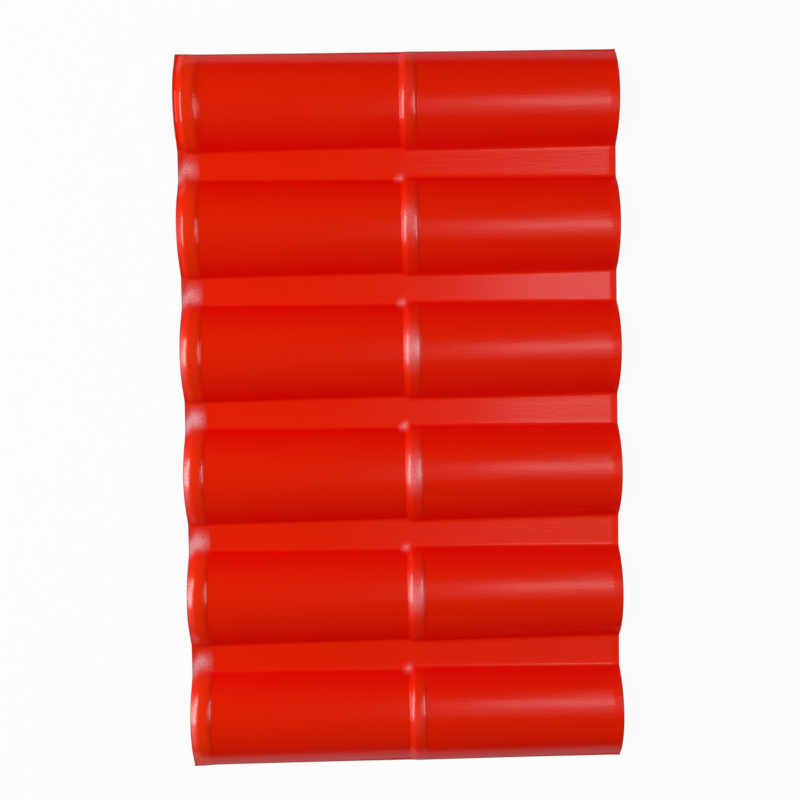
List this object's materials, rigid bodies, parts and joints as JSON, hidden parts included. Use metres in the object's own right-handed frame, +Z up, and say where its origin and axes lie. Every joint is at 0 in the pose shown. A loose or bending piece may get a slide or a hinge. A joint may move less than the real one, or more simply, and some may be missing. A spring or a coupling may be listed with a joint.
{
  "type": "pvc roofing sheet",
  "caption": "Rigid plastic roofing sheet moulded in one piece as courses of barrel tiles, with collared rolls and flat pans between them.",
  "frame": {"origin": "middle of the sheet, level with the underside of the pans that it rests on", "axes": "+X along the rolls from the eave end to the ridge end, +Y across the rolls, +Z up out of the rolls' crests"},
  "size_m": [0.536, 0.88, 0.0345],
  "materials": {
    "sheet_plastic": "glossy co-extruded cap with fine lengthwise drawing lines"
  },
  "bodies": {
    "root": {"roof_sheet": "sheet_plastic"}
  },
  "joints": []
}
